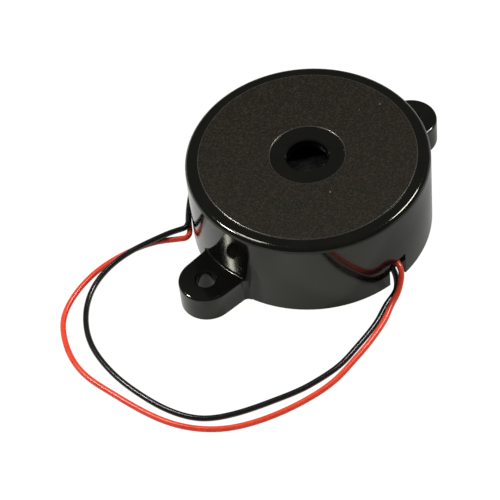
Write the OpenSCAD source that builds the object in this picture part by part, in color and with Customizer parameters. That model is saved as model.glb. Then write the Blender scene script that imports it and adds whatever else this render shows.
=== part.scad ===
// Round piezo alarm buzzer with two fixing ears, a drive circuit inside and two leads.
// Z = 0 is the flat base and the sound face looks up. The ears lie along X, the leads leave at -Y.

/* [Case] */
// Outside diameter of the case
case_d = 42; // [40:0.5:50]
// Height from the base to the smooth outer ring of the sound face
case_h = 16; // [15.5:0.5:22]
// Thickness of the round wall
wall_t = 1.8; // [1.4:0.1:2.2]
// Thickness of the front plate
front_t = 1.8; // [1.2:0.1:2.2]
// Radius of the edge between the wall and the front
edge_r = 1; // [0.4:0.1:1.4]
// Chamfer round the bottom of the wall
base_chamfer = 0.2; // [0.1:0.1:0.4]

/* [Sound face] */
// Diameter of the sound hole
hole_d = 7.2; // [5:0.1:9]
// Chamfer round the mouth of the sound hole
hole_chamfer = 0.25; // [0.1:0.05:0.5]
// Outside diameter of the smooth collar round the sound hole
collar_d = 12.8; // [11:0.1:15]
// Width of the smooth ring between the grained face and the wall
rim_w = 2.2; // [1.6:0.1:3.2]
// Height of the grained face above the smooth rings
face_rise = 0.2; // [0.1:0.05:0.3]

/* [Ears] */
// Distance from the case wall to the centre of each screw hole
screw_offset = 4; // [3.5:0.1:6]
// Diameter of each screw hole
screw_d = 3.4; // [2.8:0.1:4.2]
// Thickness of the ears
ear_t = 5.2; // [4:0.1:6]
// Radius of the round end of an ear
ear_r = 4.7; // [3.6:0.1:5]
// Half width of an ear where its flanks meet the case wall
ear_root = 4.9; // [4.6:0.1:6]
// Radius between an ear's flanks and the case wall
root_r = 1.2; // [0.6:0.1:2]
// Radius of an ear's top edge
ear_edge_r = 0.4; // [0.2:0.1:0.6]
// Radius between an ear's top and the case wall
foot_r = 0.4; // [0.2:0.1:0.6]
// Chamfer at the top and bottom of each screw hole
screw_chamfer = 0.2; // [0.1:0.05:0.4]

/* [Lead notch] */
// Width of the notch in the wall
notch_w = 3.8; // [3.6:0.1:6]
// Height of the notch above the base
notch_h = 5.3; // [5.2:0.1:5.6]

/* [Piezo element] */
// Clearance between the choke and the silver above it
choke_gap = 0.85; // [0.5:0.05:1.5]
// Space between the rim of the brass plate and the wall
plate_gap = 1.7; // [1:0.1:2.2]
// Width of the ledge under the rim of the brass plate
ledge_lap = 1; // [0.6:0.1:1.6]
// Thickness of the brass plate
plate_t = 0.25; // [0.2:0.05:0.4]
// Diameter of the ceramic disc
ceramic_d = 25; // [22:0.5:26]
// Thickness of the ceramic disc
ceramic_t = 0.25; // [0.2:0.05:0.4]
// Thickness of the silver electrodes
silver_t = 0.05; // [0.05:0.01:0.1]
// Bare ring of ceramic round the electrodes
silver_margin = 1; // [0.6:0.1:2]
// Width of the feedback electrode
tongue_w = 5; // [4:0.1:6]
// Distance from the centre to the inner end of the feedback electrode
tongue_in = 5; // [4:0.1:6]
// Bare gap between the two electrodes
silver_split = 0.8; // [0.4:0.1:1.2]
// Thickness of the sealant under the rim of the brass plate
bead_t = 0.5; // [0.3:0.1:0.7]
// Width of the sealant's lap over the plate
bead_lap = 0.7; // [0.4:0.1:1.2]

/* [Back] */
// Depth of the back cover inside the base
cover_recess = 0.5; // [0.3:0.1:0.8]
// Thickness of the back cover
cover_t = 1.6; // [1.2:0.1:1.8]
// Clearance between the back cover and the wall
cover_gap = 0.1; // [0.05:0.05:0.2]
// Height of the posts that hold the board up
post_h = 3.3; // [3.2:0.1:3.8]
// Diameter of each post
post_d = 2.4; // [2:0.1:3]

/* [Circuit board] */
// Clearance between the board and the wall
board_gap = 0.3; // [0.2:0.1:0.5]
// Thickness of the board
board_t = 1.2; // [1:0.1:1.4]
// Width of each rib that the board seats against
rib_w = 2.4; // [1.6:0.1:3]
// Distance that each rib stands in from the wall
rib_in = 1.8; // [1.4:0.1:2.4]
// Clearance round each wire in its board hole
drill_gap = 0.1; // [0.05:0.05:0.15]

/* [Components] */
// Outside diameter of the choke
choke_d = 8; // [7:0.2:8.4]
// Height of the choke
choke_h = 4.2; // [3.6:0.1:5]
// Diameter of the hub that the choke's winding lies on
choke_hub_d = 4; // [3:0.1:5]
// Thickness of each choke flange
choke_flange_t = 0.8; // [0.6:0.1:1]
// Depth of the winding inside the edge of the flanges
choke_winding_in = 0.5; // [0.3:0.1:0.9]
// Distance between the choke's two pins
choke_pitch = 5; // [4:0.1:6]
// Diameter of the transistor's body
transistor_d = 4.6; // [4.2:0.1:4.8]
// Length of the transistor's body
transistor_l = 4.6; // [4.2:0.1:5]
// Height of the transistor's axis above its flat side
transistor_flat = 1.3; // [1.1:0.1:1.5]
// Distance between neighbouring transistor legs
leg_pitch = 1.27; // [1.2:0.01:1.4]
// Distance from the transistor's body to the bend of its legs
leg_reach = 1.8; // [1.2:0.1:2.4]
// Diameter of a resistor's body
resistor_d = 2.3; // [1.8:0.1:2.6]
// Length of a resistor's body
resistor_l = 6.3; // [5:0.1:7]
// Distance between a resistor's two board holes
resistor_pitch = 10.2; // [9.5:0.1:11]
// Diameter of the diode's body
diode_d = 2.6; // [2.2:0.1:2.8]
// Length of the diode's body
diode_l = 5; // [4:0.1:5.2]
// Distance between the diode's two board holes
diode_pitch = 9; // [8:0.1:10]
// Diameter of the wires and pins on the board
pin_d = 0.6; // [0.4:0.05:0.7]
// Length of wire that stands out under the board
pin_out = 0.8; // [0.6:0.1:1]
// Diameter of the bare wires from the board to the piezo element
jumper_d = 0.5; // [0.4:0.05:0.6]
// Height of each solder joint
solder_h = 0.6; // [0.4:0.1:0.7]
// Radius of each solder joint
solder_r = 0.9; // [0.7:0.05:1]
// Radius of each solder joint on the transistor's legs
leg_solder_r = 0.55; // [0.45:0.05:0.6]

/* [Leads] */
// Outside diameter of each lead
lead_d = 1; // [0.8:0.1:1.2]
// Diameter of the tinned strands at each lead's end
strand_d = 0.6; // [0.4:0.1:0.8]
// Length of the bared end
strip_l = 5; // [3:0.5:8]
// Distance between the two solder pads of the leads
pad_pitch = 2; // [1.9:0.05:2.2]
// Width of each pad's solder
pad_w = 1.5; // [1.3:0.1:1.7]
// Length of each pad's solder
pad_l = 3; // [2:0.1:4]

/* [Hidden] */
$fn = 96;

// A cut runs this far past the face that it opens.
over = 1;
// A fillet's round is let this far into the faces that it joins, so that it crosses them cleanly.
sink = 0.02;
case_r = case_d / 2;
bore_r = case_r - wall_t;
screw_x = case_r + screw_offset;

// Heights, from the base up; the sound chamber takes what is left between the seat and the front
cover_z = cover_recess + cover_t;
board_z = cover_z + post_h;
parts_z = board_z + board_t;
joint_z = parts_z + choke_h + choke_gap;
silver_z = joint_z + silver_t;
ceramic_z = silver_z + ceramic_t;
seat_z = ceramic_z + plate_t;
front_z = case_h - front_t;
bead_z = ceramic_z - bead_t;

// Piezo element
plate_r = bore_r - plate_gap;
ledge_r = plate_r - ledge_lap;
bead_r = plate_r - bead_lap;
silver_r = ceramic_d / 2 - silver_margin;

// Solder joints on the element: on the bare brass, on the round silver and on the silver tongue
plate_joint_r = (ceramic_d / 2 + bead_r) / 2;
plate_joint_turn = 228;
plate_joint = plate_joint_r * [cos(plate_joint_turn), sin(plate_joint_turn)];
main_joint = [-3, -2];
feedback_joint = [(tongue_in + silver_r) / 2, 0];

// Board, its ribs and posts
board_r = bore_r - board_gap;
rib_angles = [45, 135, 225, 315];
rib_clear = 0.3;
post_x = board_r - post_d / 2;

// Places of the components on the board
choke_at = [-2, 8];
transistor_at = [-11, 1];
bias_at = [3, -5];
feedback_at = [3, -9];
diode_at = [12, 3];
plate_wire = [[-8, -8.5], plate_joint];
main_wire = [[-5, 0], main_joint];
feedback_wire = [[6.5, 1], feedback_joint];
wires = [plate_wire, main_wire, feedback_wire];

leg_y = transistor_at.y - transistor_l / 2 - leg_reach;
choke_pin_at = [for (s = [-1, 1]) choke_at + [s * choke_pitch / 2, 0]];
leg_at = [for (k = [-1, 0, 1]) [transistor_at.x + k * leg_pitch, leg_y]];
bias_pin_at = [for (s = [-1, 1]) bias_at + [s * resistor_pitch / 2, 0]];
feedback_pin_at = [for (s = [-1, 1]) feedback_at + [s * resistor_pitch / 2, 0]];
diode_pin_at = [for (s = [-1, 1]) diode_at + [0, s * diode_pitch / 2]];
pin_at = concat(choke_pin_at, bias_pin_at, feedback_pin_at, diode_pin_at);

// The leads' routes, from the solder pads out through the notch and along the ground
lead_sides = 8;
red_route = [
    [1, -15, 4.6], [1, -17, 4.6], [0.6, -19.1, 4.6], [0, -20.9, 4.5], [-0.7, -22.4, 4],
    [-1.8, -23.3, 3], [-3.2, -23.9, 1.8], [-5.2, -24.5, 1.2], [-7.7, -25.6, 1], [-11.1, -26.7, 1],
    [-14.6, -27.5, 1], [-18.1, -28, 0.9], [-22, -28.4, 0.7], [-26.2, -28.1, 0.5], [-30.7, -27.2, 0.5],
    [-38, -24.5, 0.5], [-41.9, -22, 0.5], [-44.9, -18.8, 0.5], [-47, -15.2, 0.5], [-48.5, -10.7, 0.5],
    [-50, -2.4, 0.5], [-50.5, 2.3, 0.5], [-49.9, 6.7, 0.5], [-48.1, 10.9, 0.5], [-45.4, 14.4, 0.5],
    [-41.8, 16.6, 0.5], [-37.8, 17.8, 0.5], [-33.8, 18.2, 0.5], [-29.8, 17.8, 0.5], [-26.5, 17, 0.5],
    [-24, 16, 0.5], [-22, 14.8, 0.5], [-20.5, 13.6, 0.5], [-19.5, 12.8, 0.5], [-18.9, 12.4, 0.5],
    [-18.3, 12.4, 0.5], [-17.7, 12.7, 0.5], [-17.2, 13.2, 0.5], [-16.5, 14.1, 0.5], [-13.3, 17.3, 0.5],
    [-9.1, 20, 0.5], [-4.2, 21.5, 0.5], [0.8, 22, 0.5], [7.5, 20.8, 0.5]];
black_route = [
    [-1, -15, 4.6], [-1, -17.2, 4.6], [-1, -19.2, 4.4], [-1.1, -20.8, 3.8], [-1.5, -22, 2.4],
    [-2.5, -22.8, 1], [-4.3, -23.2, 0.5], [-6.1, -23.7, 0.5], [-8.4, -24.6, 0.5], [-11.7, -25.5, 0.5],
    [-15.7, -26.2, 0.5], [-19.7, -26.7, 0.5], [-23.7, -26.4, 0.5], [-27.7, -25.6, 0.5],
    [-31.7, -24.2, 0.5], [-39.6, -20.6, 0.5], [-42.9, -18, 0.5], [-45.1, -14.3, 0.5],
    [-46.8, -6.8, 0.5], [-47.1, -1.7, 0.5], [-46.7, 2.7, 0.5], [-45.6, 6.9, 0.5], [-43.5, 10.7, 0.5],
    [-40.7, 13.7, 0.5], [-37.4, 15.8, 0.6], [-34, 16.7, 1], [-30.6, 16.7, 1.5], [-27.2, 16.3, 1.6],
    [-24.2, 15.6, 1.6], [-22.4, 15.1, 1.6], [-20.5, 14.5, 1.6], [-19.3, 14, 1.6], [-18.4, 13.6, 1.6],
    [-17.8, 13.45, 1.6], [-17.3, 13.6, 1.6], [-16.8, 13.9, 1.6], [-16.3, 14.4, 1.6], [-12.6, 17.9, 1.6],
    [-8.4, 21, 1.5], [-3.5, 23, 0.8], [1.5, 23.6, 0.5], [6.6, 23.4, 0.5], [11.8, 21.8, 0.5],
    [16.8, 18.4, 0.5]];

function unit(v) = v / norm(v);
function arc(cx, cy, r, from, to, steps) =
    [for (i = [0:steps]) let (a = from + (to - from) * i / steps) [cx + r * cos(a), cy + r * sin(a)]];

// Direction of a route at one of its points: halfway between the runs before and after it
function heading(path, i) =
    let (last = len(path) - 1)
    i == 0 ? unit(path[1] - path[0])
    : i == last ? unit(path[last] - path[last - 1])
    : unit(unit(path[i + 1] - path[i]) + unit(path[i] - path[i - 1]));

// Round tube along a path; "flat" is any direction that the path never runs along.
module tube(path, d, sides, flat = [0, 0, 1]) {
    n = len(path);
    points = [for (i = [0:n - 1])
        let (t = heading(path, i), side = unit(cross(t, flat)), top = cross(side, t))
        for (k = [0:sides - 1])
            path[i] + d / 2 * (cos(360 * k / sides) * side + sin(360 * k / sides) * top)];
    walls = [for (i = [0:n - 2], k = [0:sides - 1])
        let (a = i * sides + k, b = i * sides + (k + 1) % sides)
        each [[a, b, b + sides], [a, b + sides, a + sides]]];
    start = [for (k = [sides - 1:-1:0]) k];
    finish = [for (k = [0:sides - 1]) (n - 1) * sides + k];
    polyhedron(points, concat([start], walls, [finish]));
}

// Housing: one moulding with the wall, the front, the ledge, the ribs and both ears.

// Section of the wall and the front, as one turned shape
module shell_profile() {
    face_in = collar_d / 2;
    face_out = case_r - rim_w;
    polygon(concat(
        [[bore_r, 0], [case_r - base_chamfer, 0], [case_r, base_chamfer]],
        arc(case_r - edge_r, case_h - edge_r, edge_r, 0, 90, 16),
        arc(face_out - face_rise, case_h, face_rise, 0, 90, 5),
        arc(face_in + face_rise, case_h, face_rise, 90, 180, 5),
        [[hole_d / 2 + hole_chamfer, case_h], [hole_d / 2, case_h - hole_chamfer],
         [hole_d / 2, front_z], [ledge_r, front_z], [ledge_r, seat_z], [bore_r, seat_z]]));
}

// Ribs inside the wall: their lower ends are the board's seat.
module ribs() {
    rib_top = bead_z - rib_clear;
    for (a = rib_angles)
        rotate(a)
            intersection() {
                translate([bore_r - rib_in, -rib_w / 2, parts_z])
                    cube([rib_in + wall_t / 2, rib_w, rib_top - parts_z]);
                cylinder(r = bore_r + wall_t / 2, h = case_h);
            }
}

// An ear's flank is a straight line from the wall to where it meets the round end smoothly.
root_at = [sqrt(case_r * case_r - ear_root * ear_root), ear_root];
flank_run = [screw_x, 0] - root_at;
flank_aim = atan2(flank_run.y, flank_run.x) + asin(ear_r / norm(flank_run));
// A cosine of five decimals keeps the flanks' tops exactly level with the round end's top.
flank_turn = sign(flank_aim) * acos(round(cos(flank_aim) * 100000) / 100000);
flank_dir = [cos(flank_turn), sin(flank_turn)];
flank_out = [-flank_dir.y, flank_dir.x];
flank_end = [screw_x, 0] + ear_r * flank_out;
flank_far = flank_end * flank_out;
root_along = sqrt(pow(case_r + root_r, 2) - pow(flank_far + root_r, 2));
root_mid = (flank_far + root_r) * flank_out + root_along * flank_dir;
root_flank = root_mid - root_r * flank_out;
root_wall = root_mid * case_r / (case_r + root_r);

// Round end of an ear, with its top edge rounded. It is a whole disc, so that it overlaps the flanks.
module ear_end() {
    translate([screw_x, 0])
        rotate_extrude()
            polygon(concat([[0, 0], [ear_r, 0]],
                arc(ear_r - ear_edge_r, ear_t - ear_edge_r, ear_edge_r, 0, 90, 6), [[0, ear_t]]));
}

// One side of an ear, from inside the wall to the round end, with the same rounded edge.
// It reaches past the middle of the ear, so that the two sides overlap.
module ear_flank() {
    inside = norm(flank_end - root_flank) + wall_t;
    past = ear_root + wall_t;
    translate([flank_end.x, flank_end.y])
        rotate([90, 0, flank_turn - 90])
            linear_extrude(inside)
                polygon(concat([[past, 0], [0, 0]],
                    arc(ear_edge_r, ear_t - ear_edge_r, ear_edge_r, 180, 90, 6), [[past, ear_t]]));
}

// Fillet between a flank and the wall
module ear_root_fillet() {
    difference() {
        linear_extrude(ear_t)
            polygon([root_flank, root_mid, root_wall, root_wall * (1 - wall_t / 2 / case_r),
                root_at - wall_t * flank_dir - wall_t * flank_out]);
        translate([root_mid.x, root_mid.y, 0])
            rotate_extrude()
                polygon(concat([[0, -over], [root_r + sink, -over]],
                    arc(root_r + sink + ear_edge_r, ear_t - ear_edge_r, ear_edge_r, 180, 90, 6),
                    [[root_r + sink + ear_edge_r, ear_t + over], [0, ear_t + over]]));
    }
}

// Small fillet between the ear's flat top and the wall
module ear_foot() {
    intersection() {
        rotate_extrude()
            polygon(concat([[case_r - wall_t / 2, ear_t - foot_r],
                [case_r - wall_t / 2, ear_t + foot_r - sink]],
                arc(case_r + foot_r - sink, ear_t + foot_r - sink, foot_r, 180, 270, 6),
                [[case_r + foot_r - sink, ear_t - foot_r]]));
        translate([0, -ear_root + ear_edge_r, 0])
            cube([case_r + over, 2 * (ear_root - ear_edge_r), 2 * ear_t]);
    }
}

module ear() {
    difference() {
        union() {
            ear_end();
            for (m = [0, 1])
                mirror([0, m, 0]) {
                    ear_flank();
                    ear_root_fillet();
                }
            ear_foot();
        }
        cylinder(r = bore_r + wall_t / 4, h = 2 * ear_t + foot_r);
        translate([screw_x, 0, -over])
            cylinder(d = screw_d, h = ear_t + 2 * over);
        translate([screw_x, 0, ear_t - screw_chamfer])
            cylinder(d1 = screw_d, d2 = screw_d + 4 * screw_chamfer, h = 2 * screw_chamfer);
        translate([screw_x, 0, -screw_chamfer])
            cylinder(d1 = screw_d + 4 * screw_chamfer, d2 = screw_d, h = 2 * screw_chamfer);
    }
}

module housing() {
    color([0.13, 0.13, 0.125])
        difference() {
            union() {
                rotate_extrude()
                    shell_profile();
                ribs();
                for (turn = [0, 180])
                    rotate(turn)
                        ear();
            }
            translate([-notch_w / 2, -case_r - over, -over])
                cube([notch_w, wall_t + 2 * over, notch_h + over]);
        }
}

// Back cover: a disc glued into the wall, with posts that hold the board against the ribs
module back_cover() {
    color([0.09, 0.09, 0.09]) {
        translate([0, 0, cover_recess])
            cylinder(r = bore_r - cover_gap, h = cover_t);
        for (a = rib_angles)
            rotate(a)
                translate([post_x, 0, cover_recess + cover_t / 2])
                    cylinder(d = post_d, h = cover_t / 2 + post_h);
    }
}

// Piezo element: brass plate on the housing's ledge, with the ceramic disc under it.

module diaphragm_plate() {
    color([0.72, 0.56, 0.27])
        translate([0, 0, ceramic_z])
            cylinder(r = plate_r, h = plate_t);
}

module ceramic_disc() {
    color([0.78, 0.74, 0.64])
        translate([0, 0, silver_z])
            cylinder(d = ceramic_d, h = ceramic_t);
}

// Keyhole outline of the feedback electrode, grown by a margin
module tongue(margin) {
    translate([tongue_in + tongue_w / 2, 0])
        circle(r = tongue_w / 2 + margin);
    translate([tongue_in + tongue_w / 2, -tongue_w / 2 - margin])
        square([ceramic_d, tongue_w + 2 * margin]);
}

module main_electrode() {
    color([0.80, 0.80, 0.82])
        translate([0, 0, joint_z])
            linear_extrude(silver_t)
                difference() {
                    circle(r = silver_r);
                    tongue(silver_split);
                }
}

module feedback_electrode() {
    color([0.80, 0.80, 0.82])
        translate([0, 0, joint_z])
            linear_extrude(silver_t)
                intersection() {
                    circle(r = silver_r);
                    tongue(0);
                }
}

// Sealant ring that holds the plate's rim against the ledge
module seal_bead() {
    color([0.85, 0.85, 0.82])
        rotate_extrude()
            polygon([[bore_r, seat_z], [plate_r, seat_z], [plate_r, ceramic_z],
                [bead_r, ceramic_z], [plate_r, bead_z], [bore_r, bead_z]]);
}

module circuit_board() {
    color([0.63, 0.45, 0.24])
        difference() {
            translate([0, 0, board_z])
                cylinder(r = board_r, h = board_t);
            for (p = concat(pin_at, leg_at))
                translate([p.x, p.y, board_z - over])
                    cylinder(d = pin_d + 2 * drill_gap, h = board_t + 2 * over, $fn = 24);
            for (w = wires)
                translate([w[0].x, w[0].y, board_z - over])
                    cylinder(d = jumper_d + 2 * drill_gap, h = board_t + 2 * over, $fn = 24);
        }
}

// Choke: a ferrite drum with a copper winding and two pins

module choke_core() {
    hub_r = choke_hub_d / 2;
    color([0.20, 0.20, 0.21])
        translate([choke_at.x, choke_at.y, parts_z])
            rotate_extrude()
                polygon([[0, 0], [choke_d / 2, 0], [choke_d / 2, choke_flange_t], [hub_r, choke_flange_t],
                    [hub_r, choke_h - choke_flange_t], [choke_d / 2, choke_h - choke_flange_t],
                    [choke_d / 2, choke_h], [0, choke_h]]);
}

module choke_winding() {
    color([0.72, 0.38, 0.20])
        translate([choke_at.x, choke_at.y, parts_z + choke_flange_t])
            difference() {
                cylinder(r = choke_d / 2 - choke_winding_in, h = choke_h - 2 * choke_flange_t);
                translate([0, 0, -over])
                    cylinder(d = choke_hub_d, h = choke_h + over);
            }
}

module choke_pins() {
    color([0.78, 0.78, 0.78])
        for (p = choke_pin_at)
            translate([p.x, p.y, board_z - pin_out])
                cylinder(d = pin_d, h = board_t + pin_out, $fn = 24);
}

// Transistor, lying on its flat side

module transistor_body() {
    color([0.12, 0.12, 0.12])
        intersection() {
            translate([transistor_at.x, transistor_at.y + transistor_l / 2, parts_z + transistor_flat])
                rotate([90, 0, 0])
                    cylinder(d = transistor_d, h = transistor_l);
            translate([transistor_at.x - transistor_d, transistor_at.y - transistor_d, parts_z])
                cube(2 * transistor_d);
        }
}

// A wire that runs level and then bends down through the board
module bent_wire(from, to, z) {
    run = [to.x - from.x, to.y - from.y];
    translate([from.x, from.y, z])
        rotate([90, 0, atan2(run.y, run.x) + 90])
            cylinder(d = pin_d, h = norm(run), $fn = 24);
    translate([to.x, to.y, z])
        sphere(d = pin_d, $fn = 24);
    translate([to.x, to.y, board_z - pin_out])
        cylinder(d = pin_d, h = z - board_z + pin_out, $fn = 24);
}

module transistor_legs() {
    color([0.78, 0.78, 0.78])
        for (p = leg_at)
            bent_wire([p.x, transistor_at.y - transistor_l / 2], p, parts_z + transistor_flat);
}

// Resistor or diode lying on the board: a barrel with slightly thicker ends, and its two wires
module axial_part(at, ends, body_d, body_l) {
    waist = 0.15;
    cap_l = body_l / 5;
    z = parts_z + body_d / 2;
    turn = ends[0].y == ends[1].y ? 0 : 90;
    translate([at.x, at.y, z])
        rotate([0, 90, turn])
            translate([0, 0, -body_l / 2])
                rotate_extrude()
                    polygon([[0, 0], [body_d / 2 - waist, 0], [body_d / 2, waist],
                        [body_d / 2, cap_l], [body_d / 2 - waist, cap_l + waist],
                        [body_d / 2 - waist, body_l - cap_l - waist], [body_d / 2, body_l - cap_l],
                        [body_d / 2, body_l - waist], [body_d / 2 - waist, body_l], [0, body_l]]);
    for (p = ends)
        bent_wire(at + unit(p - at) * (body_l / 2 - waist), p, z);
}

module bias_resistor() {
    color([0.80, 0.68, 0.48])
        axial_part(bias_at, bias_pin_at, resistor_d, resistor_l);
}

module feedback_resistor() {
    color([0.80, 0.68, 0.48])
        axial_part(feedback_at, feedback_pin_at, resistor_d, resistor_l);
}

module supply_diode() {
    color([0.10, 0.10, 0.10])
        axial_part(diode_at, diode_pin_at, diode_d, diode_l);
}

// Bare wire from the board up to a solder joint on the piezo element
module jumper(wire, top_z) {
    low = board_z - pin_out;
    bend = parts_z + 2 * jumper_d;
    steps = 8;
    blend = [for (i = [0:steps])
        let (s = i / steps, k = s * s * (3 - 2 * s), xy = wire[0] + k * (wire[1] - wire[0]))
        [xy.x, xy.y, bend + s * (top_z - jumper_d - bend)]];
    route = concat([[wire[0].x, wire[0].y, low]], blend, [[wire[1].x, wire[1].y, top_z]]);
    tube(route, jumper_d, lead_sides, [0, 1, 0]);
}

module plate_jumper() {
    color([0.78, 0.78, 0.78])
        jumper(plate_wire, ceramic_z - solder_h);
}

module main_jumper() {
    color([0.78, 0.78, 0.78])
        jumper(main_wire, joint_z - solder_h);
}

module feedback_jumper() {
    color([0.78, 0.78, 0.78])
        jumper(feedback_wire, joint_z - solder_h);
}

// Solder joints: domes on the piezo element, rings round the wires under the board, pads for the leads

module solder_dome(at, z) {
    translate([at.x, at.y, z - solder_h])
        cylinder(r1 = solder_r / 2, r2 = solder_r, h = solder_h, $fn = 32);
}

module piezo_solder() {
    color([0.76, 0.76, 0.77]) {
        solder_dome(plate_wire[1], ceramic_z);
        solder_dome(main_wire[1], joint_z);
        solder_dome(feedback_wire[1], joint_z);
    }
}

module solder_ring(at, wire_d, r) {
    translate([at.x, at.y, board_z - solder_h])
        rotate_extrude($fn = 32)
            polygon([[wire_d / 2, 0], [wire_d / 2 + drill_gap / 2, 0], [r, solder_h], [wire_d / 2, solder_h]]);
}

module board_solder() {
    color([0.76, 0.76, 0.77]) {
        for (p = pin_at)
            solder_ring(p, pin_d, solder_r);
        for (p = leg_at)
            solder_ring(p, pin_d, leg_solder_r);
        for (w = wires)
            solder_ring(w[0], jumper_d, solder_r);
    }
}

module lead_solder() {
    start = red_route[0];
    low = start.z - lead_d / 2 - drill_gap / 2;
    color([0.76, 0.76, 0.77])
        for (s = [-1, 1])
            translate([s * pad_pitch / 2 - pad_w / 2, start.y, low])
                cube([pad_w, pad_l, board_z - low]);
}

// Leads, with their tinned ends

// The bared end carries straight on from the last run of its lead.
module strands(route) {
    last = route[len(route) - 1];
    ahead = heading(route, len(route) - 1);
    tube([last, last + strip_l * ahead], strand_d, lead_sides);
}

module red_lead() {
    color([0.90, 0.20, 0.12])
        tube(red_route, lead_d, lead_sides);
}

module red_lead_tip() {
    color([0.78, 0.78, 0.78])
        strands(red_route);
}

module black_lead() {
    color([0.06, 0.06, 0.06])
        tube(black_route, lead_d, lead_sides);
}

module black_lead_tip() {
    color([0.78, 0.78, 0.78])
        strands(black_route);
}

housing();
back_cover();
diaphragm_plate();
ceramic_disc();
main_electrode();
feedback_electrode();
seal_bead();
circuit_board();
choke_core();
choke_winding();
choke_pins();
transistor_body();
transistor_legs();
bias_resistor();
feedback_resistor();
supply_diode();
plate_jumper();
main_jumper();
feedback_jumper();
piezo_solder();
board_solder();
lead_solder();
red_lead();
red_lead_tip();
black_lead();
black_lead_tip();
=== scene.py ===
"""Piezo alarm buzzer: finishes, leads, strands, floor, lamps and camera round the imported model.

Lengths are in metres unless a name ends in _mm. Z = 0 is the floor, the ears lie along X and the
leads leave the case at -Y.
"""

import logging
import math
from dataclasses import dataclass, field
from enum import Enum
from functools import cache

import bpy
import numpy as np
from mathutils import Matrix, Vector


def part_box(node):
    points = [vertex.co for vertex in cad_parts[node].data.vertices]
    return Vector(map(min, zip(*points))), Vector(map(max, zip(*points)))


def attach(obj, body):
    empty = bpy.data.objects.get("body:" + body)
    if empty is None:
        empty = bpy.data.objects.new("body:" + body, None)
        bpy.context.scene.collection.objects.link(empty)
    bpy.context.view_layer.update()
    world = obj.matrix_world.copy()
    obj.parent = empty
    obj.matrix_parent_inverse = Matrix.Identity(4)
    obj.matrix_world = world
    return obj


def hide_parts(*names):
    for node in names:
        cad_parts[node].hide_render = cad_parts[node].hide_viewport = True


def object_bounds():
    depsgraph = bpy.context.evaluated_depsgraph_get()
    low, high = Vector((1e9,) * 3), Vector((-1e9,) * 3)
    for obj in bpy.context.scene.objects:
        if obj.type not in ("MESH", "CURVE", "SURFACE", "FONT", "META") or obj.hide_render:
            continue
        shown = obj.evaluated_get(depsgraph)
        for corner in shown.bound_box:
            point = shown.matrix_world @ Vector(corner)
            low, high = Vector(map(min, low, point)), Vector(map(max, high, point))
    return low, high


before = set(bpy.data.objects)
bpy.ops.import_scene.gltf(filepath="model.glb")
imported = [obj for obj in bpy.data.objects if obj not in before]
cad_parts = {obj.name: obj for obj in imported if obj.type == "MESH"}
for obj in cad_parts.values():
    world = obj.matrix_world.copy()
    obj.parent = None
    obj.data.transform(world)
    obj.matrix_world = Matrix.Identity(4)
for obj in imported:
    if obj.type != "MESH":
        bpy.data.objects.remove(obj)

MM = 0.001
METRE = 1.0
CASE_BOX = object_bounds()

log = logging.getLogger("buzzer")
Colour = tuple[float, float, float]
Point = tuple[float, float, float]


# Node trees

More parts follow.
